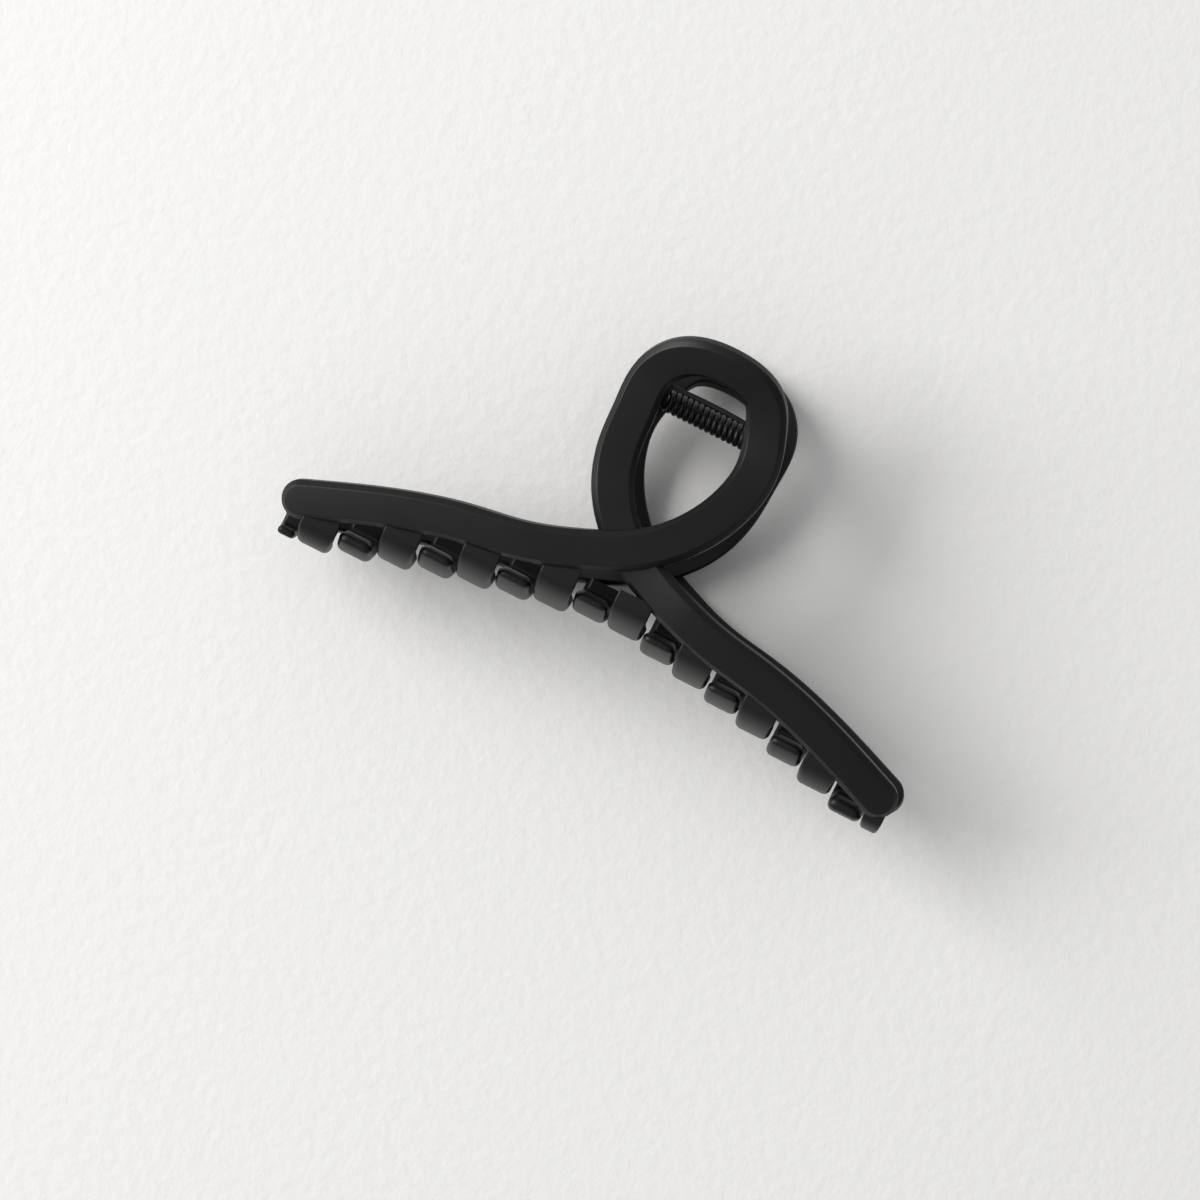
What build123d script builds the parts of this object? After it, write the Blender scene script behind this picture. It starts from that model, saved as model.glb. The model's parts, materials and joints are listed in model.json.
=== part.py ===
from build123d import *
import math
import os

os.makedirs("parts", exist_ok=True)

# A claw clip that lies on its back jaw: two identical mouldings, a hinge pin and a torsion
# spring. X runs along the hinge, Y from the claws towards the finger loops, and Z from the
# back jaw to the front jaw. The pieces are drawn with Z = 0 midway between the jaws and
# Y = 0 level with the tips of the arms. resting_place then puts the origin under the middle
# of the clip, on the surface that the clip lies on.

# Ribbon that each jaw is bent from: left arm, loop, right arm
ribbon_width = 6.6
loop_width = 7.2
ribbon_thickness = 2.8
root_overlap = 0.7
front_bevel = 0.9
back_bevel = 0.4
sections_per_strand = 24

# Arms, measured along the middle of the ribbon's outer face
left_arm_reach = 54.1
right_arm_reach = 53.5
right_arm_drop = 1.1
arm_tip_height = 1.6
arm_root_height = 13.0
arm_bow_radius = 175.0
arm_lean = 18.0

# Loop, measured along the middle of the ribbon's outer face
crossing_height = 19.4
crossing_step = 1.6
crossing_fade = 15.0
crossing_shift = 1.9
loop_left_reach = 11.3
loop_right_reach = 11.2
loop_height = 32.6
loop_sway = 0.1

# Distance of the outer face from the plane between the jaws
belly_depth = 15.5
waist_depth = 9.8
handle_depth = 13.6
handle_flare = 34.0

# Claws: pitch and width along the hinge, shape in the plane across it
claw_count = 9
claw_pitch = 13.1
claw_offset = 3.27
claw_width = 6.0
claw_tip_width = 5.3
end_claw_width = 3.4
claw_drop = 4.8
claw_thickness = 2.9
claw_end_angle = 40.0
claw_corner_radius = 1.8
claw_lip_overlap = 0.4
claw_root_overlap = 1.6
outer_claw_place = 40.0
outer_claw_rise = 1.3
outer_claw_end_angle = 84.0
end_claw_drop = 2.4
end_claw_inset = 1.1

# Hinge
hinge_below_top = 8.0
pin_diameter = 1.7
pin_length = 25.6
pin_running_clearance = 0.05
pin_end_chamfer = 0.2
ear_thickness = 1.5
ear_gap = 0.2
ear_radius = 2.9
ear_inner_face = 9.3
ear_root_width = 7.4

# Torsion spring and the strip above it that ties the two sides of the loop together
wire_diameter = 0.96
coil_outer_diameter = 4.0
coil_turns = 16
coil_turn_gap = 0.06
leg_gap = 0.1
leg_length = 6.0
strip_height = 0.7
strip_start_depth = 4.4
strip_above_axis = 1.5
strip_rise = 0.4
strip_root_overlap = 1.2


def between(value, stations):
    """The straight-line value at a place along a list of (place, value) stations."""
    for (start, first), (end, last) in zip(stations, stations[1:]):
        if value <= end:
            share = max(0.0, (value - start) / (end - start))
            return first + share * (last - first)
    return stations[-1][1]


def bow(x):
    """How far the arms have bent back towards the other jaw at a place along the clip."""
    return x * x / (2 * arm_bow_radius)


def arm_height(x, reach):
    """Height of an arm's middle line, a parabola from the clip's middle to its tips."""
    return arm_tip_height + (arm_root_height - arm_tip_height) * (1 - (x / reach) ** 2)


loop_top = crossing_height + loop_height
hinge_height = loop_top - hinge_below_top
waist_height = hinge_height - 1.4
waist_drop = belly_depth - waist_depth


def half_line(reach, drop, shift, loop_reach, shares):
    """Points of one strand's middle line, from its arm's tip, on the left, to the loop's side."""
    points = []
    for x in (-reach, -0.75 * reach, -0.5 * reach, -0.33 * reach):
        points.append((x, arm_height(x, reach) - drop, belly_depth - bow(x)))
    crossing = crossing_height - shift
    knee = (arm_root_height - drop + crossing) / 2 - 0.8
    points.append((-0.14 * reach, knee, belly_depth - 0.15))
    points.append((0, crossing, belly_depth))
    for share, height, depth in zip(
        shares,
        (0.25, 0.45, 0.63, 0.8, 0.935),
        (
            belly_depth - 0.32 * waist_drop,
            belly_depth - 0.68 * waist_drop,
            waist_depth + 0.3,
            waist_depth + 0.25,
            waist_depth + 0.55 * (handle_depth - waist_depth),
        ),
    ):
        points.append((share * loop_reach, crossing_height + height * loop_height, depth))
    return points


# The ribbon's middle line: from the left tip over the crossing and up the loop's right side
# to its top, then down the left side and under the crossing to the right tip
over_line = half_line(left_arm_reach, 0, 0, loop_right_reach, (0.68, 0.94, 1.0, 0.87, 0.65))
under_line = half_line(
    right_arm_reach, right_arm_drop, crossing_shift, loop_left_reach, (0.79, 0.96, 1.0, 1.0, 0.745)
)
top_point = (-loop_sway, loop_top, handle_depth)
mirrored_line = [(-x, y, z) for x, y, z in reversed(under_line)]
spine = Spline(*over_line, top_point, *mirrored_line)

# Lean of the outer face: positive where its upper edge stands further out than its lower
lean_stations = [
    (arm_root_height, arm_lean),
    (crossing_height + 5, -8.0),
    (waist_height - 8, -8.0),
    (waist_height, 4.0),
    (loop_top - 3, handle_flare),
]
width_stations = [
    (crossing_height - 2, ribbon_width),
    (crossing_height + 11, loop_width),
    (hinge_height, loop_width),
    (loop_top - 2, ribbon_width),
]


def ribbon_plane(share, direction, step):
    """Plane across the ribbon, x along its width and y out of its face, and its half width."""
    point = spine @ share
    along = (spine % share).normalized() * direction
    slope = math.tan(math.radians(between(point.Y, lean_stations)))
    out = Vector(point.X / arm_bow_radius if point.Y < crossing_height else 0, -slope, 1)
    across = out.cross(along).normalized()
    distance = math.hypot(point.X, point.Y - crossing_height) / crossing_fade
    sunk = step * max(0.0, 1 - distance * distance) ** 2
    width = between(point.Y, width_stations)
    plane = Plane(origin=point - Vector(0, 0, sunk), x_dir=across, z_dir=along)
    return plane, width / 2


def ribbon_outline(half):
    """Half of the ribbon's outline, from the middle of its face to the middle of its back."""
    return [
        (0, 0),
        (half - front_bevel, 0),
        (half, -front_bevel),
        (half, back_bevel - ribbon_thickness),
        (half - back_bevel, -ribbon_thickness),
        (0, -ribbon_thickness),
    ]


def strand(end_share, step):
    """One strand with a round tip, from share 0 or 1 of the spine to the loop's top."""
    direction = 1 - 2 * end_share
    with BuildPart() as body:
        for index in range(sections_per_strand + 1):
            share = end_share + (0.5 - end_share) * index / sections_per_strand
            plane, half = ribbon_plane(share, direction, step)
            outline = ribbon_outline(half)
            mirrored_outline = [(-x, y) for x, y in reversed(outline[1:-1])]
            with BuildSketch(plane):
                with BuildLine():
                    Polyline(*outline[1:-1], *mirrored_outline, close=True)
                make_face()
        loft()
        tip_plane, tip_half = ribbon_plane(end_share, direction, step)
        with BuildSketch(tip_plane):
            with BuildLine():
                Polyline(*ribbon_outline(tip_half), close=True)
            make_face()
        revolve(axis=Axis(tip_plane.origin, tip_plane.y_dir), revolution_arc=180)
    return body.part


def claw(x, width, drop):
    """One claw across the hinge direction, from under the ribbon past the middle plane."""
    outer_share = between(abs(x), [(outer_claw_place, 0), (right_arm_reach, 1)])
    end_angle = claw_end_angle + (outer_claw_end_angle - claw_end_angle) * outer_share
    lean = math.radians(arm_lean)
    arm = arm_height(min(abs(x), right_arm_reach), right_arm_reach) - right_arm_drop
    root_height = arm - ribbon_width / 2 * math.cos(lean) + claw_lip_overlap
    root_height += between(abs(x), [(0, 2.0), (10, 0.7), (20, 0)])
    own_arm = arm_height(x, left_arm_reach) if x < 0 else arm
    edge_depth = ribbon_width / 2 * math.sin(lean) + front_bevel * math.cos(lean)
    half_span = belly_depth - bow(x) - edge_depth
    thickness = claw_thickness * width / claw_width
    inner_span = half_span - thickness
    inner_drop = drop - thickness
    stop = math.radians(end_angle)
    turn = 180 - end_angle
    outer_tip = (-half_span * math.cos(stop), root_height - drop * math.sin(stop))
    inner_tip = (-inner_span * math.cos(stop), root_height - inner_drop * math.sin(stop))
    # The rounded tip bulges past the straight line between its two corners
    middle = ((outer_tip[0] + inner_tip[0]) / 2, (outer_tip[1] + inner_tip[1]) / 2)
    bulge = math.dist(outer_tip, inner_tip) / 2
    tip = (middle[0] - bulge * 0.55, middle[1] + bulge * 0.75)
    root_top = root_height + max(own_arm - arm, 0) + claw_root_overlap
    across = Plane(origin=(x, 0, 0), x_dir=(0, 0, 1), z_dir=(-1, 0, 0))
    overhead = Plane(origin=(x, root_top, 0), x_dir=(-1, 0, 0), z_dir=(0, -1, 0))
    tip_depth = half_span * math.cos(stop) + bulge
    corner_radius = claw_corner_radius * width / claw_width
    # Tall enough for the rounded upper corners of the outline to clear the claw's root
    outline_height = drop + root_top - root_height + 2 * corner_radius
    with BuildPart() as body:
        with BuildSketch(across):
            with BuildLine():
                Line((inner_span, root_height), (inner_span, root_top))
                Line((inner_span, root_top), (half_span, root_top))
                Line((half_span, root_top), (half_span, root_height))
                EllipticalCenterArc((0, root_height), half_span, drop, arc_size=-turn)
                ThreePointArc(outer_tip, tip, inner_tip)
                EllipticalCenterArc((0, root_height), inner_span, inner_drop, arc_size=-turn)
            make_face()
        extrude(amount=claw_width, both=True)
        with BuildSketch(overhead) as body_plan:
            with BuildLine():
                Polyline(
                    (-width / 2, -half_span - 1),
                    (width / 2, -half_span - 1),
                    (width / 2 * claw_tip_width / claw_width, tip_depth),
                    (-width / 2 * claw_tip_width / claw_width, tip_depth),
                    close=True,
                )
            make_face()
            fillet(body_plan.vertices().group_by(Axis.Z)[0], corner_radius)
        extrude(amount=4 * claw_drop, mode=Mode.INTERSECT)
        with BuildSketch(Plane.XY):
            with Locations((x, root_height - drop + outline_height / 2)):
                RectangleRounded(width, outline_height, corner_radius)
        extrude(amount=belly_depth, both=True, mode=Mode.INTERSECT)
    return body.part


def ear(inner_face):
    """A lug behind the loop's side that the pin passes through, from inner_face outwards."""
    side = math.copysign(1, inner_face)
    root_depth = waist_depth - ribbon_thickness + root_overlap
    across = Plane(origin=(inner_face, hinge_height, 0), x_dir=(0, 1, 0), z_dir=(1, 0, 0))
    with BuildPart() as body:
        with BuildSketch(across):
            Circle(ear_radius)
            with BuildLine():
                Polyline(
                    (-ear_radius, 0),
                    (ear_radius, 0),
                    (ear_root_width / 2, root_depth),
                    (-ear_root_width / 2, root_depth),
                    close=True,
                )
            make_face()
        extrude(amount=side * ear_thickness)
    return body.part


claws = []
for step in range(-(claw_count // 2), claw_count // 2):
    place = claw_offset + claw_pitch * step
    rise = between(abs(place), [(outer_claw_place, 0), (right_arm_reach, outer_claw_rise)])
    claws.append(claw(place, claw_width, claw_drop - rise))
end_claw_place = right_arm_reach + ribbon_width / 2 - end_claw_inset - end_claw_width / 2
claws.append(claw(end_claw_place, end_claw_width, end_claw_drop))
over_strand = strand(0, 0)
under_strand = strand(1, crossing_step)
outer_ear_face = ear_inner_face + ear_thickness + ear_gap
ears = [ear(-ear_inner_face), ear(outer_ear_face)]

hinge_plane = Plane(origin=(0, hinge_height, 0), x_dir=(0, 0, 1), z_dir=(1, 0, 0))
strip_base = hinge_height + strip_above_axis
strip_half_length = loop_right_reach - loop_width / 2 + strip_root_overlap
strip_back = waist_depth - ribbon_thickness + root_overlap

with BuildPart() as front_jaw:
    add(over_strand)
    add(under_strand)
    for one_claw in claws:
        add(one_claw)
    for one_ear in ears:
        add(one_ear)
    # The strip is a low arch, so its middle stands strip_rise above its ends
    with BuildSketch(Plane.XY.offset(strip_start_depth)):
        with BuildLine():
            ThreePointArc(
                (-strip_half_length, strip_base),
                (0, strip_base + strip_rise),
                (strip_half_length, strip_base),
            )
            Line((strip_half_length, strip_base), (strip_half_length, strip_base + strip_height))
            ThreePointArc(
                (strip_half_length, strip_base + strip_height),
                (0, strip_base + strip_height + strip_rise),
                (-strip_half_length, strip_base + strip_height),
            )
            Line((-strip_half_length, strip_base + strip_height), (-strip_half_length, strip_base))
        make_face()
    extrude(amount=strip_back - strip_start_depth)
    with BuildSketch(hinge_plane):
        Circle(pin_diameter / 2 + pin_running_clearance)
    extrude(amount=pin_length, both=True, mode=Mode.SUBTRACT)

with BuildPart() as back_jaw:
    add(front_jaw.part.rotate(Axis.Y, 180))

with BuildPart() as hinge_pin:
    with BuildSketch(hinge_plane.offset(-pin_length / 2)):
        Circle(pin_diameter / 2)
    extrude(amount=pin_length)
    chamfer(hinge_pin.edges().filter_by(GeomType.CIRCLE), pin_end_chamfer)

# Each leg leaves the coil on a tangent that clears the edge of one jaw's strip
coil_radius = (coil_outer_diameter - wire_diameter) / 2
strip_edge = (strip_above_axis + strip_height + 0.1, strip_start_depth)
leg_angle = math.atan2(strip_edge[1], strip_edge[0]) - math.asin(
    (coil_radius + wire_diameter / 2 + leg_gap) / math.hypot(*strip_edge)
)
start_angle = math.pi / 2 + leg_angle
coil_pitch = wire_diameter + coil_turn_gap
coil_length = coil_pitch * (coil_turns - start_angle / math.pi)
coil = Helix(
    coil_pitch,
    coil_length,
    coil_radius,
    center=(-coil_length / 2, hinge_height, 0),
    direction=(1, 0, 0),
).rotate(Axis((0, hinge_height, 0), (1, 0, 0)), math.degrees(leg_angle))
front_leg = Line(coil @ 0 - (coil % 0) * leg_length, coil @ 0)
back_leg = Line(coil @ 1, coil @ 1 + (coil % 1) * leg_length)

with BuildPart() as torsion_spring:
    with BuildSketch(Plane(origin=front_leg @ 0, z_dir=front_leg % 0)):
        Circle(wire_diameter / 2)
    sweep(path=Wire([front_leg, coil, back_leg]), is_frenet=True)

front_box = front_jaw.part.bounding_box()
resting_place = Location((0, -(front_box.min.Y + front_box.max.Y) / 2, front_box.max.Z))
for name, piece in [
    ("front_jaw", front_jaw),
    ("back_jaw", back_jaw),
    ("hinge_pin", hinge_pin),
    ("torsion_spring", torsion_spring),
]:
    piece.part.label = name
    export_step(piece.part.moved(resting_place), "parts/" + name + ".step")

hinge_spot = resting_place.position + Vector(0, hinge_height, 0)
print(f"hinge axis at y = {hinge_spot.Y:.3f} mm, z = {hinge_spot.Z:.3f} mm")
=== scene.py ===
import json
import math

import bmesh
import bpy
import numpy as np
from mathutils import Matrix, Vector


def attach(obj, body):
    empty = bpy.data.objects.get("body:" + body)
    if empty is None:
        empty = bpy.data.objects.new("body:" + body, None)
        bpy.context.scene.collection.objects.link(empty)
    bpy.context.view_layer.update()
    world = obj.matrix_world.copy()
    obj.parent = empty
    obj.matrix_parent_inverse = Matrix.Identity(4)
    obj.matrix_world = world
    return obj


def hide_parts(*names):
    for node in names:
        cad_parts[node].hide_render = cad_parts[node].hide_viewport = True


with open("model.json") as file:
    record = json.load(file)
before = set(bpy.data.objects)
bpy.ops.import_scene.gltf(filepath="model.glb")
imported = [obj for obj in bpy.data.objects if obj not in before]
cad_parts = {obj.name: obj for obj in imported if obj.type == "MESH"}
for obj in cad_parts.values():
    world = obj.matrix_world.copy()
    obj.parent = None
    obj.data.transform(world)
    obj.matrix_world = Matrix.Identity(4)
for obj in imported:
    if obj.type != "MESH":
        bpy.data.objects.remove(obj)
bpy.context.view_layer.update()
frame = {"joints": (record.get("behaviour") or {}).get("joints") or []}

# Shapes are worked out in millimetres in the clip's own frame: x along the hinge, y up from the
# arm tips to the finger loop, z from the plane between the jaws out to the front jaw.
MM = 0.001
HINGE_HEIGHT = 44.0
hinge = Vector(frame["joints"][0]["pos_m"])

RIBBON_WIDTH = 6.6
LOOP_WIDTH = 7.2
RIBBON_THICKNESS = 2.8
ROOT_OVERLAP = 0.7
FRONT_BEVEL = 0.9
BACK_BEVEL = 0.4
LEFT_ARM_REACH = 54.1
RIGHT_ARM_REACH = 53.5
RIGHT_ARM_DROP = 1.1
ARM_TIP_HEIGHT = 1.6
ARM_ROOT_HEIGHT = 13.0
ARM_BOW_RADIUS = 175.0
ARM_LEAN = 18.0
CROSSING_HEIGHT = 19.4
CROSSING_STEP = 1.6
CROSSING_FADE = 15.0
CROSSING_SHIFT = 1.9
LOOP_LEFT_REACH = 11.3
LOOP_RIGHT_REACH = 11.2
LOOP_HEIGHT = 32.6
LOOP_SWAY = 0.1
LOOP_TOP = CROSSING_HEIGHT + LOOP_HEIGHT
BELLY_DEPTH = 15.5
WAIST_DEPTH = 9.8
HANDLE_DEPTH = 13.6
HANDLE_FLARE = 34.0


def in_row_frame(points):
    """Millimetres in the clip's own frame to metres in the row frame."""
    points = np.asarray(points, float) * MM
    return points + np.array([0, hinge.y - HINGE_HEIGHT * MM, hinge.z])


def unit(vectors):
    return vectors / np.linalg.norm(vectors, axis=-1, keepdims=True)


def smooth_curve(points, count):
    """count points and tangents along the natural cubic spline through the given points."""
    points = np.asarray(points, float)
    knots = np.concatenate([[0], np.cumsum(np.linalg.norm(np.diff(points, axis=0), axis=1))])
    gaps = np.diff(knots)[:, None]
    slopes = np.diff(points, axis=0) / gaps
    size = len(points)
    system = np.eye(size)
    right = np.zeros_like(points)
    for i in range(1, size - 1):
        system[i, i - 1:i + 2] = gaps[i - 1, 0], 2 * (gaps[i - 1, 0] + gaps[i, 0]), gaps[i, 0]
        right[i] = 6 * (slopes[i] - slopes[i - 1])
    bend = np.linalg.solve(system, right)
    at = np.linspace(0, knots[-1], count)
    i = np.clip(np.searchsorted(knots, at, side="right") - 1, 0, size - 2)
    t, gap = (at - knots[i])[:, None], gaps[i]
    first = slopes[i] - gap * (2 * bend[i] + bend[i + 1]) / 6
    third = (bend[i + 1] - bend[i]) / gap
    place = points[i] + t * first + t**2 * bend[i] / 2 + t**3 * third / 6
    return place, unit(first + t * bend[i] + t**2 * third / 2)


def arm_height(x, reach):
    return ARM_TIP_HEIGHT + (ARM_ROOT_HEIGHT - ARM_TIP_HEIGHT) * (1 - (x / reach) ** 2)


def half_line(reach, drop, shift, loop_reach, shares):
    """Points of one strand's middle line, from its arm's tip, on the left, to the loop's side."""
    waist_drop = BELLY_DEPTH - WAIST_DEPTH
    points = []
    for x in (-reach, -0.75 * reach, -0.5 * reach, -0.33 * reach):
        depth = BELLY_DEPTH - x * x / (2 * ARM_BOW_RADIUS)
        points.append((x, arm_height(x, reach) - drop, depth))
    crossing = CROSSING_HEIGHT - shift
    knee = (ARM_ROOT_HEIGHT - drop + crossing) / 2 - 0.8
    points.append((-0.14 * reach, knee, BELLY_DEPTH - 0.15))
    points.append((0, crossing, BELLY_DEPTH))
    heights = (0.25, 0.45, 0.63, 0.8, 0.935)
    depths = (
        BELLY_DEPTH - 0.32 * waist_drop,
        BELLY_DEPTH - 0.68 * waist_drop,
        WAIST_DEPTH + 0.3,
        WAIST_DEPTH + 0.25,
        WAIST_DEPTH + 0.55 * (HANDLE_DEPTH - WAIST_DEPTH),
    )
    for share, height, depth in zip(shares, heights, depths):
        points.append((share * loop_reach, CROSSING_HEIGHT + height * LOOP_HEIGHT, depth))
    return points


# The outer face's lean in degrees, positive where its upper edge stands further out, and the
# ribbon's width, at heights along the clip
LEAN_HEIGHTS = [
    ARM_ROOT_HEIGHT,
    CROSSING_HEIGHT + 5,
    HINGE_HEIGHT - 9.4,
    HINGE_HEIGHT - 1.4,
    LOOP_TOP - 3,
]
LEANS = [ARM_LEAN, -8, -8, 4, HANDLE_FLARE]
WIDTH_HEIGHTS = [CROSSING_HEIGHT - 2, CROSSING_HEIGHT + 11, HINGE_HEIGHT, LOOP_TOP - 2]
WIDTHS = [RIBBON_WIDTH, LOOP_WIDTH, LOOP_WIDTH, RIBBON_WIDTH]


def smoothed(values, count):
    """values with their corners rounded off over a quarter of a strand's count places."""
    window = np.hanning(count // 8 * 2 + 1)
    return np.convolve(np.pad(values, len(window) // 2, mode="edge"), window / window.sum(), "valid")


def ribbon_frames(count, under):
    """Places, width and outward directions and half widths along one strand from its tip."""
    over_shares = (0.68, 0.94, 1.0, 0.87, 0.65)
    under_shares = (0.79, 0.96, 1.0, 1.0, 0.745)
    over = half_line(LEFT_ARM_REACH, 0, 0, LOOP_RIGHT_REACH, over_shares)
    below = half_line(
        RIGHT_ARM_REACH, RIGHT_ARM_DROP, CROSSING_SHIFT, LOOP_LEFT_REACH, under_shares
    )
    whole = over + [(-LOOP_SWAY, LOOP_TOP, HANDLE_DEPTH)] + [(-x, y, z) for x, y, z in below[::-1]]
    place, along = smooth_curve(whole, 2 * count - 1)
    lean = smoothed(np.interp(place[:, 1], LEAN_HEIGHTS, LEANS), count)
    turned = np.interp(place[:, 1], [ARM_ROOT_HEIGHT, CROSSING_HEIGHT + 4], [1, 0])
    out = np.stack(
        [place[:, 0] / ARM_BOW_RADIUS * turned, -np.tan(np.radians(lean)), np.ones(len(place))], 1
    )
    across = unit(np.cross(out, along))
    out = np.cross(along, across)
    width = smoothed(np.interp(place[:, 1], WIDTH_HEIGHTS, WIDTHS), count)
    if under:
        place, across, out, width = place[::-1], -across[::-1], out[::-1], width[::-1]
    return place[:count].copy(), across[:count], out[:count], width[:count] / 2


def rounded(corners, radii, steps=4):
    """A polyline through the corners with each inner one rounded to its radius."""
    line = [corners[0]]
    for before, corner, after, radius in zip(corners, corners[1:], corners[2:], radii):
        corner = np.array(corner, float)
        back, on = unit(before - corner), unit(after - corner)
        half_turn = (math.pi - math.acos(np.clip(back @ on, -1, 1))) / 2
        reach = radius * math.tan(half_turn)
        for step in range(steps + 1):
            t = step / steps
            a, b = corner + back * reach * (1 - t), corner + on * reach * t
            line.append(a * (1 - t) + b * t)
    line.append(corners[-1])
    return np.array(line)


def new_mesh(name, points, faces):
    mesh = bpy.data.meshes.new(name)
    mesh.from_pydata([tuple(p) for p in points], [], faces)
    work = bmesh.new()
    work.from_mesh(mesh)
    bmesh.ops.remove_doubles(work, verts=work.verts, dist=1e-5)
    bmesh.ops.dissolve_degenerate(work, edges=work.edges, dist=1e-6)
    bmesh.ops.recalc_face_normals(work, faces=work.faces)
    work.to_mesh(mesh)
    work.free()
    piece = bpy.data.objects.new(name, mesh)
    bpy.context.scene.collection.objects.link(piece)
    return piece


def tube_faces(rows, around, first=0, close_start=True, close_end=True):
    """Faces of a tube of rows rings, each of around points."""
    faces = []
    for row in range(rows - 1):
        for k in range(around):
            a = first + row * around + k
            b = first + row * around + (k + 1) % around
            faces.append((a, b, b + around, a + around))
    if close_start:
        faces.append(tuple(first + k for k in reversed(range(around))))
    if close_end:
        faces.append(tuple(first + (rows - 1) * around + k for k in range(around)))
    return faces


# Edge radii from the front bevel's inner edge round to the back bevel's
RIBBON_EDGE_RADII = [0.3, 0.35, 0.3, 0.3]


def strand(name, step, under, count=260, cap_steps=26):
    """One strand of the ribbon, from a rounded tip to the loop's top."""
    place, across, out, half_width = ribbon_frames(count, under)
    distance = np.hypot(place[:, 0], place[:, 1] - CROSSING_HEIGHT) / CROSSING_FADE
    place[:, 2] -= step * np.clip(1 - distance**2, 0, None) ** 2
    corners = [
        (-RIBBON_WIDTH / 2, 0),
        (-FRONT_BEVEL, 0),
        (0, -FRONT_BEVEL),
        (0, BACK_BEVEL - RIBBON_THICKNESS),
        (-BACK_BEVEL, -RIBBON_THICKNESS),
        (-RIBBON_WIDTH / 2, -RIBBON_THICKNESS),
    ]
    # The outline is kept relative to the ribbon's edge, so a wider ribbon keeps its bevels
    half = rounded([np.array(c, float) for c in corners], RIBBON_EDGE_RADII)
    rows = []
    for wide in half_width:
        line = half + [wide, 0]
        line[0, 0] = line[-1, 0] = 0
        rows.append(np.concatenate([line, (line * [-1, 1])[-2:0:-1]]))
    ring = np.array(rows)
    rings = place[:, None] + ring[..., :1] * across[:, None] + ring[..., 1:] * out[:, None]
    points = rings.reshape(-1, 3)
    faces = tube_faces(count, ring.shape[1], close_start=False)
    # The tip is half the section turned about the end's outward direction
    half = rows[0][:len(half)]
    tip = place[0], across[0], out[0], np.cross(out[0], across[0])
    angles = np.linspace(0, math.pi, cap_steps + 1)
    spokes = np.cos(angles)[:, None] * tip[1] + np.sin(angles)[:, None] * tip[3]
    cap = tip[0] + half[None, :, :1] * spokes[:, None] + half[None, :, 1:] * tip[2]
    first, wide = len(points), len(half)
    points = np.concatenate([points, cap.reshape(-1, 3)])
    for row in range(cap_steps):
        for k in range(wide - 1):
            a = first + row * wide + k
            faces.append((a, a + 1, a + 1 + wide, a + wide))
    return new_mesh(name, points, faces)


CLAW_COUNT = 9
CLAW_PITCH = 13.1
CLAW_OFFSET = 3.27
CLAW_WIDTH = 6.3
CLAW_TIP_WIDTH = 5.9
CLAW_THICKNESS = 2.9
CLAW_DROP = 4.8
CLAW_END_ANGLE = 40.0
CLAW_CORNER_RADIUS = 1.8
CLAW_LIP_OVERLAP = 0.4
CLAW_ROOT_OVERLAP = 1.6
OUTER_CLAW_PLACE = 40.0
OUTER_CLAW_RISE = 1.3
OUTER_CLAW_END_ANGLE = 84.0
END_CLAW_WIDTH = 3.4
END_CLAW_DROP = 2.4
END_CLAW_INSET = 1.1


# A claw's section: where its sides start to close in, half the width of its inner side, and
# the two inner edge radii, as shares of its thickness, width and thickness
CLAW_SIDE_SHARE = 0.55
CLAW_INNER_HALF_SHARE = 0.38
CLAW_SIDE_RADIUS_SHARE = 0.12
CLAW_INNER_RADIUS_SHARE = 0.16
CLAW_CRISP_RADIUS = 0.3
# Turn in radians by which a claw's outer edges have opened to their full round
CLAW_ROUND_TURN = 1.3
# How far a claw's root stands up near the middle of the clip, at places along it
CLAW_RISE_PLACES = [0, 10, 20]
CLAW_RISES = [2.0, 0.7, 0]
# The tip's last ring stops short of a point by this share, and keeps this share of its width
CLAW_TIP_CLOSE = 0.985
CLAW_TIP_KEPT = 0.45
# How fast the outer corners open from crisp to round
CLAW_ROUND_POWER = 1.5
# A corner can't be rounded past these shares of the two sides that meet in it
CLAW_RADIUS_PER_THICKNESS = 0.48
CLAW_RADIUS_PER_WIDTH = 0.45
# Rings of points along a claw, and over its round tip
CLAW_RINGS, CLAW_TIP_RINGS = 44, 14


def claw_section(width, thickness, outer_radius):
    """A claw cut across: a flat outer side with its corners rounded, a narrower inner side."""
    corners = [
        (0, 0),
        (width / 2, 0),
        (width / 2, CLAW_SIDE_SHARE * thickness),
        (CLAW_INNER_HALF_SHARE * width, thickness),
        (0, thickness),
    ]
    radii = [outer_radius, CLAW_SIDE_RADIUS_SHARE * thickness, CLAW_INNER_RADIUS_SHARE * thickness]
    half = rounded([np.array(c, float) for c in corners], radii, steps=8)
    return np.concatenate([half, (half * [-1, 1])[-2:0:-1]])


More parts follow.
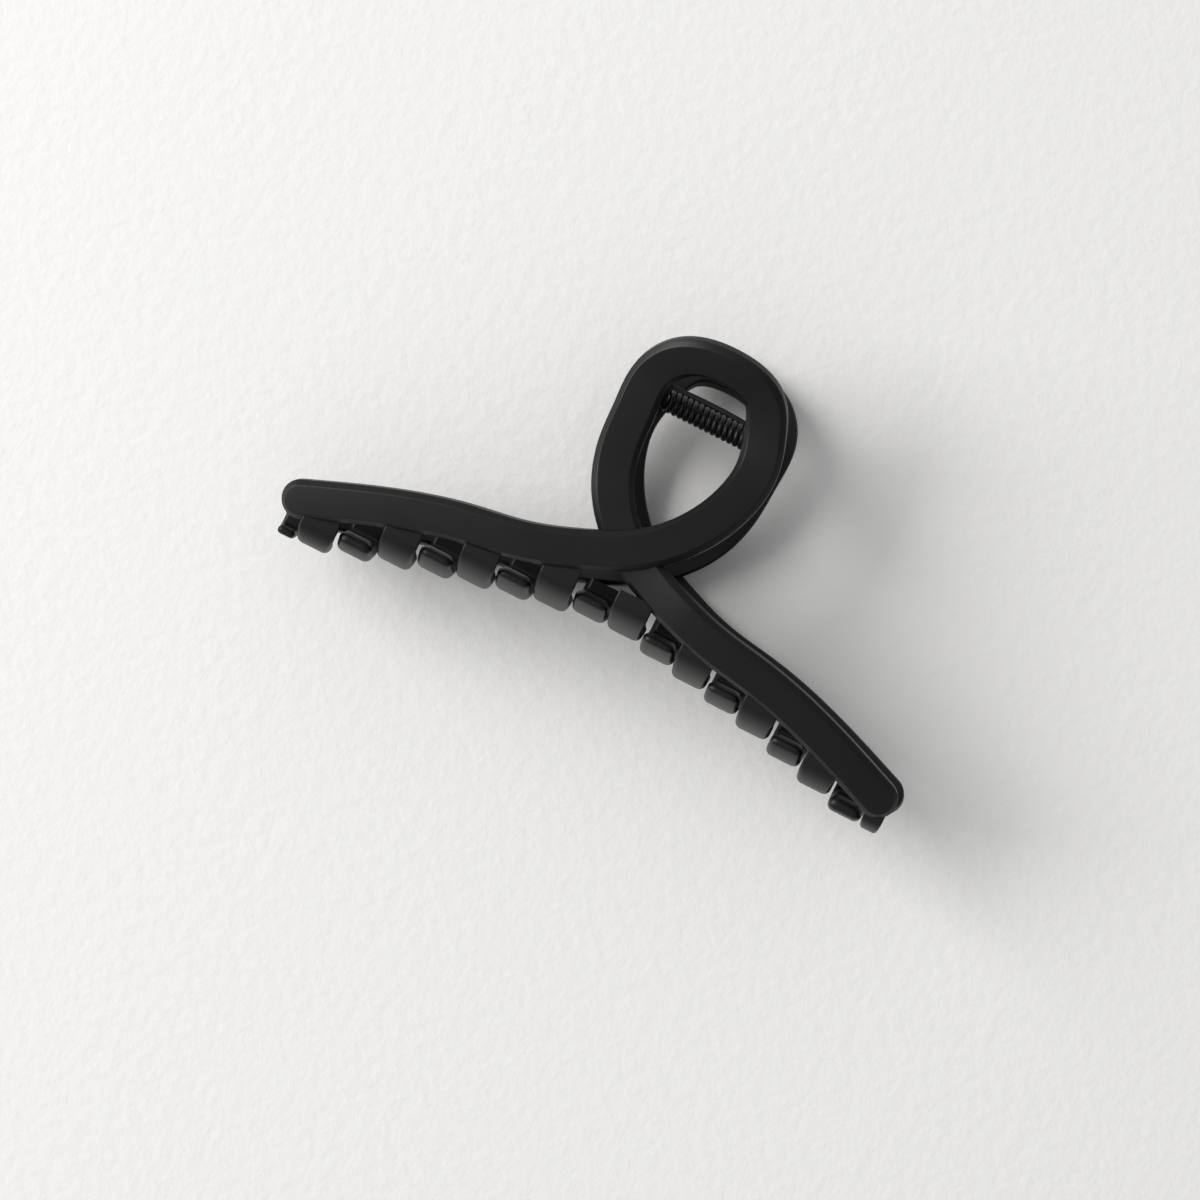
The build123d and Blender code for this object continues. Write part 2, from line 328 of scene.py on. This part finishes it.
def claw(name, x, width, drop):
    """One claw: a hook that curls from under its own arm to under the other jaw's arm."""
    lean = math.radians(ARM_LEAN)
    outer_share = float(np.interp(abs(x), [OUTER_CLAW_PLACE, RIGHT_ARM_REACH], [0, 1]))
    end_angle = CLAW_END_ANGLE + (OUTER_CLAW_END_ANGLE - CLAW_END_ANGLE) * outer_share
    stop = math.radians(180 - end_angle)
    arm = arm_height(min(abs(x), RIGHT_ARM_REACH), RIGHT_ARM_REACH) - RIGHT_ARM_DROP
    root = arm - RIBBON_WIDTH / 2 * math.cos(lean) + CLAW_LIP_OVERLAP
    root += float(np.interp(abs(x), CLAW_RISE_PLACES, CLAW_RISES))
    own_arm = arm_height(x, LEFT_ARM_REACH) if x < 0 else arm
    root_rise = own_arm - arm + CLAW_ROOT_OVERLAP
    edge = RIBBON_WIDTH / 2 * math.sin(lean) + FRONT_BEVEL * math.cos(lean)
    span = BELLY_DEPTH - x * x / (2 * ARM_BOW_RADIUS) - edge
    thickness = CLAW_THICKNESS * width / CLAW_WIDTH
    rings = []
    steps, tip_steps = CLAW_RINGS, CLAW_TIP_RINGS
    for index in range(-1, steps + tip_steps + 1):
        on = min(max(index / steps, 0.0), 1.0)
        past = max(0.0, (index - steps) / tip_steps) * CLAW_TIP_CLOSE
        turn = stop * on
        outer = np.array([0, root - drop * math.sin(turn), span * math.cos(turn)])
        inner = np.array(
            [0, root - (drop - thickness) * math.sin(turn), (span - thickness) * math.cos(turn)]
        )
        forward = unit(np.array([0, -drop * math.cos(turn), -span * math.sin(turn)]))
        if index < 0:
            outer, inner = outer + [0, root_rise, 0], inner + [0, root_rise, 0]
        shrink = math.sqrt(1 - past**2)
        middle = (outer + inner) / 2 + forward * thickness / 2 * past
        deep = (inner - outer) * shrink / thickness
        wide = width + (CLAW_TIP_WIDTH - CLAW_WIDTH) * on**2
        wide *= CLAW_TIP_KEPT + (1 - CLAW_TIP_KEPT) * shrink
        # The outer corners open from a crisp edge by the arm to a full round underneath
        opened = min(1, turn / CLAW_ROUND_TURN) ** CLAW_ROUND_POWER
        full_radius = CLAW_CORNER_RADIUS * width / CLAW_WIDTH
        radius = CLAW_CRISP_RADIUS + (full_radius - CLAW_CRISP_RADIUS) * opened
        radius = min(radius, CLAW_RADIUS_PER_THICKNESS * thickness, CLAW_RADIUS_PER_WIDTH * wide)
        section = claw_section(wide, thickness, radius)
        start = middle - deep * thickness / 2
        rings.append(start + [x, 0, 0] + section[:, :1] * [1, 0, 0] + section[:, 1:] * deep)
    points = np.concatenate(rings)
    return new_mesh(name, points, tube_faces(len(rings), len(rings[0])))


EAR_THICKNESS = 1.5
EAR_GAP = 0.2
EAR_RADIUS = 2.9
EAR_INNER_FACE = 9.3
EAR_ROOT_WIDTH = 7.4
PIN_RADIUS = 0.85
PIN_CLEARANCE = 0.05
PIN_LENGTH = 25.6
PIN_CHAMFER = 0.2


def prism(name, outline, low, high, edge=0.15):
    """A plate across the hinge with softened edges. outline holds (y, z) points."""
    outline = np.array(outline)
    middle = outline.mean(0)
    inset = middle + (outline - middle) * (1 - edge / np.abs(outline - middle).max())
    rings = [(low, inset), (low + edge, outline), (high - edge, outline), (high, inset)]
    points = [(x, y, z) for x, line in rings for y, z in line]
    return new_mesh(name, points, tube_faces(len(rings), len(outline)))


def ear(name, low, high):
    root_depth = WAIST_DEPTH - RIBBON_THICKNESS + ROOT_OVERLAP
    turns = np.linspace(math.pi, 2 * math.pi, 25)
    outline = [(HINGE_HEIGHT + EAR_RADIUS * math.cos(a), EAR_RADIUS * math.sin(a)) for a in turns]
    outline += [
        (HINGE_HEIGHT + EAR_ROOT_WIDTH / 2, root_depth),
        (HINGE_HEIGHT - EAR_ROOT_WIDTH / 2, root_depth),
    ]
    return prism(name, outline, low, high)


STRIP_ABOVE_AXIS = 1.5
STRIP_HEIGHT = 0.7
STRIP_START_DEPTH = 4.4
STRIP_RISE = 0.4
STRIP_ROOT_OVERLAP = 1.2
STRIP_EDGE_RADIUS = 0.2


def strip(name):
    """The low arch across the loop that the spring's legs rest against."""
    reach = LOOP_RIGHT_REACH - LOOP_WIDTH / 2 + STRIP_ROOT_OVERLAP
    base = HINGE_HEIGHT + STRIP_ABOVE_AXIS
    front, back = WAIST_DEPTH - RIBBON_THICKNESS + ROOT_OVERLAP, STRIP_START_DEPTH
    corners = [(0, front), (STRIP_HEIGHT, front), (STRIP_HEIGHT, back), (0, back), (0, front)]
    ring = rounded([np.array(c, float) for c in corners], [STRIP_EDGE_RADIUS] * 3)[:-1]
    points = []
    for share in np.linspace(-1, 1, 33):
        rise = STRIP_RISE * (1 - share * share)
        points += [(share * reach, base + rise + y, z) for y, z in ring]
    return new_mesh(name, points, tube_faces(33, len(ring)))


def combine(base, tool, operation="UNION"):
    """base with tool added or taken away, as one closed mesh."""
    change = base.modifiers.new("combine", "BOOLEAN")
    change.solver = "MANIFOLD"
    change.operation = operation
    change.object = tool
    graph = bpy.context.evaluated_depsgraph_get()
    mesh = bpy.data.meshes.new_from_object(base.evaluated_get(graph))
    base.modifiers.remove(change)
    base.data = mesh
    bpy.data.objects.remove(tool)
    return base


def pin_tool(name):
    ring = np.linspace(0, 2 * math.pi, 49)[:-1]
    radius = PIN_RADIUS + PIN_CLEARANCE
    points = [
        (x, HINGE_HEIGHT + radius * math.cos(a), radius * math.sin(a)) for x in (-20, 20) for a in ring
    ]
    return new_mesh(name, points, tube_faces(2, len(ring)))


def jaw(name):
    """The whole moulding in the front jaw's place."""
    body = strand(name, 0, False)
    combine(body, strand("under", CROSSING_STEP, True))
    for step in range(-(CLAW_COUNT // 2), CLAW_COUNT // 2):
        x = CLAW_OFFSET + CLAW_PITCH * step
        rise = float(np.interp(abs(x), [OUTER_CLAW_PLACE, RIGHT_ARM_REACH], [0, OUTER_CLAW_RISE]))
        combine(body, claw("claw", x, CLAW_WIDTH, CLAW_DROP - rise))
    end = RIGHT_ARM_REACH + RIBBON_WIDTH / 2 - END_CLAW_INSET - END_CLAW_WIDTH / 2
    combine(body, claw("claw", end, END_CLAW_WIDTH, END_CLAW_DROP))
    outer = EAR_INNER_FACE + EAR_THICKNESS + EAR_GAP
    combine(body, ear("ear", -EAR_INNER_FACE - EAR_THICKNESS, -EAR_INNER_FACE))
    combine(body, ear("ear", outer, outer + EAR_THICKNESS))
    combine(body, strip("strip"))
    combine(body, pin_tool("pin_tool"), "DIFFERENCE")
    return body


def settle(piece, body, node, material):
    """Into the row frame, onto its body, in place of its CAD node."""
    points = np.empty(len(piece.data.vertices) * 3)
    piece.data.vertices.foreach_get("co", points)
    piece.data.vertices.foreach_set("co", in_row_frame(points.reshape(-1, 3)).ravel())
    piece.data.polygons.foreach_set("use_smooth", [True] * len(piece.data.polygons))
    piece.data.set_sharp_from_angle(angle=math.radians(32))
    piece.data.materials.clear()
    piece.data.materials.append(material)
    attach(piece, body)
    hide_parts(node)


def new_material(name):
    material = bpy.data.materials.new(name)
    material.use_nodes = True
    nodes, links = material.node_tree.nodes, material.node_tree.links
    return material, nodes, links, nodes["Principled BSDF"]


def node(nodes, kind, **settings):
    """A new shader node with the given sockets or properties set."""
    made = nodes.new(kind)
    for key, value in settings.items():
        if key in made.inputs:
            made.inputs[key].default_value = value
        else:
            setattr(made, key, value)
    return made


def speckle(nodes, links, shader, noise, dark, light, low_rough, high_rough):
    """Colour and roughness that wander together with a noise texture."""
    tint = node(nodes, "ShaderNodeValToRGB")
    tint.color_ramp.elements[0].color = dark
    tint.color_ramp.elements[1].color = light
    links.new(noise.outputs["Fac"], tint.inputs["Fac"])
    links.new(tint.outputs["Color"], shader.inputs["Base Color"])
    rough = node(nodes, "ShaderNodeMapRange")
    rough.inputs["To Min"].default_value = low_rough
    rough.inputs["To Max"].default_value = high_rough
    links.new(noise.outputs["Fac"], rough.inputs["Value"])
    links.new(rough.outputs["Result"], shader.inputs["Roughness"])


def emboss(nodes, links, shader, noise, strength, depth):
    """Fine relief from a noise texture, depth in metres."""
    bump = node(nodes, "ShaderNodeBump", Strength=strength, Distance=depth)
    links.new(noise.outputs["Fac"], bump.inputs["Height"])
    links.new(bump.outputs["Normal"], shader.inputs["Normal"])


def soft_touch_plastic():
    material, nodes, links, shader = new_material("jaw_plastic")
    shader.inputs["Specular IOR Level"].default_value = 0.27
    place = node(nodes, "ShaderNodeTexCoord")
    grain = node(nodes, "ShaderNodeTexNoise", Scale=9000.0, Detail=3.0)
    cloud = node(nodes, "ShaderNodeTexNoise", Scale=160.0, Detail=4.0)
    for texture in (grain, cloud):
        links.new(place.outputs["Object"], texture.inputs["Vector"])
    dark, light = (0.0036, 0.0034, 0.0034, 1), (0.0062, 0.0058, 0.0058, 1)
    speckle(nodes, links, shader, cloud, dark, light, 0.36, 0.44)
    emboss(nodes, links, shader, grain, 0.12, 0.00003)
    return material


def black_wire():
    material, nodes, links, shader = new_material("spring_steel")
    shader.inputs["Metallic"].default_value = 0.85
    place = node(nodes, "ShaderNodeTexCoord")
    noise = node(nodes, "ShaderNodeTexNoise", Scale=900.0, Detail=5.0)
    links.new(place.outputs["Object"], noise.inputs["Vector"])
    dark, light = (0.022, 0.022, 0.024, 1), (0.05, 0.048, 0.048, 1)
    speckle(nodes, links, shader, noise, dark, light, 0.25, 0.42)
    return material


def drawn_steel():
    """Steel with fine lines along the hinge."""
    material, nodes, links, shader = new_material("pin_steel")
    shader.inputs["Metallic"].default_value = 1.0
    place = node(nodes, "ShaderNodeTexCoord")
    stretch = node(nodes, "ShaderNodeMapping", Scale=(60.0, 4000.0, 4000.0))
    noise = node(nodes, "ShaderNodeTexNoise", Scale=1.0, Detail=4.0)
    links.new(place.outputs["Object"], stretch.inputs["Vector"])
    links.new(stretch.outputs["Vector"], noise.inputs["Vector"])
    dark, light = (0.30, 0.30, 0.31, 1), (0.45, 0.45, 0.46, 1)
    speckle(nodes, links, shader, noise, dark, light, 0.22, 0.4)
    return material


def paper():
    material, nodes, links, shader = new_material("paper")
    shader.inputs["Base Color"].default_value = (0.83, 0.82, 0.80, 1)
    shader.inputs["Roughness"].default_value = 0.9
    place = node(nodes, "ShaderNodeTexCoord")
    grain = node(nodes, "ShaderNodeTexNoise", Scale=420.0, Detail=3.0, Roughness=0.55)
    links.new(place.outputs["Object"], grain.inputs["Vector"])
    emboss(nodes, links, shader, grain, 0.35, 0.0004)
    return material


WIRE_RADIUS = 0.48
COIL_RADIUS = 1.52
COIL_TURNS = 16
COIL_PITCH = 1.02
LEG_GAP = 0.1
LEG_LENGTH = 6.0


def wire(name, line):
    """A round wire along the points of line."""
    along = unit(np.gradient(line, axis=0))
    side = unit(np.cross(along, np.tile([1.0, 0, 0], (len(line), 1))))
    up = np.cross(along, side)
    ring = np.linspace(0, 2 * math.pi, 21)[:-1]
    around = np.cos(ring)[None, :, None] * side[:, None] + np.sin(ring)[None, :, None] * up[:, None]
    points = (line[:, None] + WIRE_RADIUS * around).reshape(-1, 3)
    return new_mesh(name, points, tube_faces(len(line), len(ring)))


def spring():
    """The front leg by itself, which moves with the front jaw, and the coil with its back leg."""
    edge_y, edge_z = STRIP_ABOVE_AXIS + STRIP_HEIGHT + LEG_GAP, STRIP_START_DEPTH
    lean = math.atan2(edge_z, edge_y)
    lean -= math.asin((COIL_RADIUS + WIRE_RADIUS + LEG_GAP) / math.hypot(edge_y, edge_z))
    start = math.pi / 2 + lean
    length = COIL_PITCH * (COIL_TURNS - start / math.pi)
    turns = np.linspace(0, length / COIL_PITCH, 900)
    angle = start + turns * 2 * math.pi
    across, up = COIL_RADIUS * np.cos(angle), COIL_RADIUS * np.sin(angle)
    coil = np.stack([turns * COIL_PITCH - length / 2, HINGE_HEIGHT + across, up], 1)
    first, last = unit(coil[1] - coil[0]), unit(coil[-1] - coil[-2])
    along = np.linspace(LEG_LENGTH, 0, 12, endpoint=False)[:, None]
    front_leg = np.concatenate([coil[0] - first * along, coil[:8]])
    back_leg = (coil[-1] + last * along)[::-1]
    return wire("front_leg", front_leg), wire("coil", np.concatenate([coil, back_leg]))


def pin():
    end, tip = PIN_LENGTH / 2, PIN_RADIUS - PIN_CHAMFER
    rings = [(-end, tip), (PIN_CHAMFER - end, PIN_RADIUS), (end - PIN_CHAMFER, PIN_RADIUS), (end, tip)]
    turn = np.linspace(0, 2 * math.pi, 49)[:-1]
    points = [
        (x, HINGE_HEIGHT + r * math.cos(a), r * math.sin(a)) for x, r in rings for a in turn
    ]
    return new_mesh("pin", points, tube_faces(len(rings), len(turn)))


plastic = soft_touch_plastic()
front = jaw("front_jaw_moulding")
back = bpy.data.objects.new("back_jaw_moulding", front.data.copy())
bpy.context.scene.collection.objects.link(back)
back.data.transform(Matrix.Diagonal((-1, 1, -1, 1)))
settle(front, "front_jaw", "front_jaw", plastic)
settle(back, "back_jaw", "back_jaw", plastic)
steel_wire = black_wire()
front_leg, coil = spring()
settle(front_leg, "front_jaw", "torsion_spring", steel_wire)
settle(coil, "back_jaw", "torsion_spring", steel_wire)
settle(pin(), "back_jaw", "hinge_pin", drawn_steel())

# Floor
FLOOR = 1.5
floor_corners = [(-FLOOR, -FLOOR, 0), (FLOOR, -FLOOR, 0), (FLOOR, FLOOR, 0), (-FLOOR, FLOOR, 0)]
floor = new_mesh("floor", floor_corners, [(0, 1, 2, 3)])
floor.data.materials.append(paper())

# Camera: above the clip, turned so that the arms run down to the right
ROLL = math.radians(26.82)
DISTANCE = 1.5
# Half of the picture's width where the clip's middle is, in metres
HALF_VIEW = 0.0988
picture_right = Vector((math.cos(ROLL), math.sin(ROLL), 0))
picture_up = Vector((-math.sin(ROLL), math.cos(ROLL), 0))
# The point it looks at: place along the clip, height, and how far above the hinge
LOOK_PLACE, LOOK_HEIGHT, LOOK_ABOVE_HINGE = -2.3, 9.31, 6
look_y = hinge.y + (LOOK_HEIGHT - HINGE_HEIGHT) * MM
target = Vector((LOOK_PLACE * MM, look_y, hinge.z + LOOK_ABOVE_HINGE * MM))
# How far it stands off the straight view from above, along x and y
tilt_x, tilt_y = math.radians(2.4), math.radians(-1.0)
offset = Vector((math.tan(tilt_x), math.tan(tilt_y), 1)).normalized()
camera = bpy.data.objects.new("camera", bpy.data.cameras.new("camera"))
bpy.context.scene.collection.objects.link(camera)
right = (picture_right - offset * picture_right.dot(offset)).normalized()
camera.matrix_world = Matrix.Translation(target + offset * DISTANCE) @ Matrix(
    (right, offset.cross(right), offset)
).transposed().to_4x4()
camera.data.sensor_fit = "HORIZONTAL"
camera.data.angle = 2 * math.atan(HALF_VIEW / DISTANCE)
camera.data.clip_start = 0.01
bpy.context.scene.camera = camera


def area_light(name, toward, distance, size, power, colour):
    """A rectangular lamp that stands that way from the origin and shines back at it."""
    lamp = bpy.data.lights.new(name, "AREA")
    lamp.shape = "RECTANGLE"
    lamp.size, lamp.size_y = size
    lamp.energy = power
    lamp.color = colour
    holder = bpy.data.objects.new(name, lamp)
    toward = toward.normalized()
    holder.location = toward * distance
    holder.rotation_euler = toward.to_track_quat("Z", "Y").to_euler()
    bpy.context.scene.collection.objects.link(holder)


# The window is to the left of the picture, a little up it, and above the table
WINDOW_UP_PICTURE = 0.45
WINDOW_ABOVE_TABLE = 0.75
WINDOW_DISTANCE = 1.3
WINDOW_SIZE = (1.0, 0.8)
WINDOW_WATTS = 17
WINDOW_COLOUR = (1.0, 0.995, 0.985)
window_way = -picture_right + picture_up * WINDOW_UP_PICTURE + Vector((0, 0, WINDOW_ABOVE_TABLE))
area_light("window", window_way, WINDOW_DISTANCE, WINDOW_SIZE, WINDOW_WATTS, WINDOW_COLOUR)

# The room is brighter on the window's side
world = bpy.data.worlds.new("world")
bpy.context.scene.world = world
world.use_nodes = True
nodes, links = world.node_tree.nodes, world.node_tree.links
sky = nodes["Background"]
sky.inputs["Color"].default_value = (0.97, 0.98, 1.0, 1)
way = nodes.new("ShaderNodeTexCoord")
facing = nodes.new("ShaderNodeVectorMath")
facing.operation = "DOT_PRODUCT"
facing.inputs[1].default_value = window_way.normalized()
strength = nodes.new("ShaderNodeMapRange")
for name, value in [("From Min", -1), ("From Max", 1), ("To Min", 0.1), ("To Max", 0.75)]:
    strength.inputs[name].default_value = value
links.new(way.outputs["Generated"], facing.inputs[0])
links.new(facing.outputs["Value"], strength.inputs["Value"])
links.new(strength.outputs["Result"], sky.inputs["Strength"])
bpy.context.scene.view_settings.view_transform = "Standard"
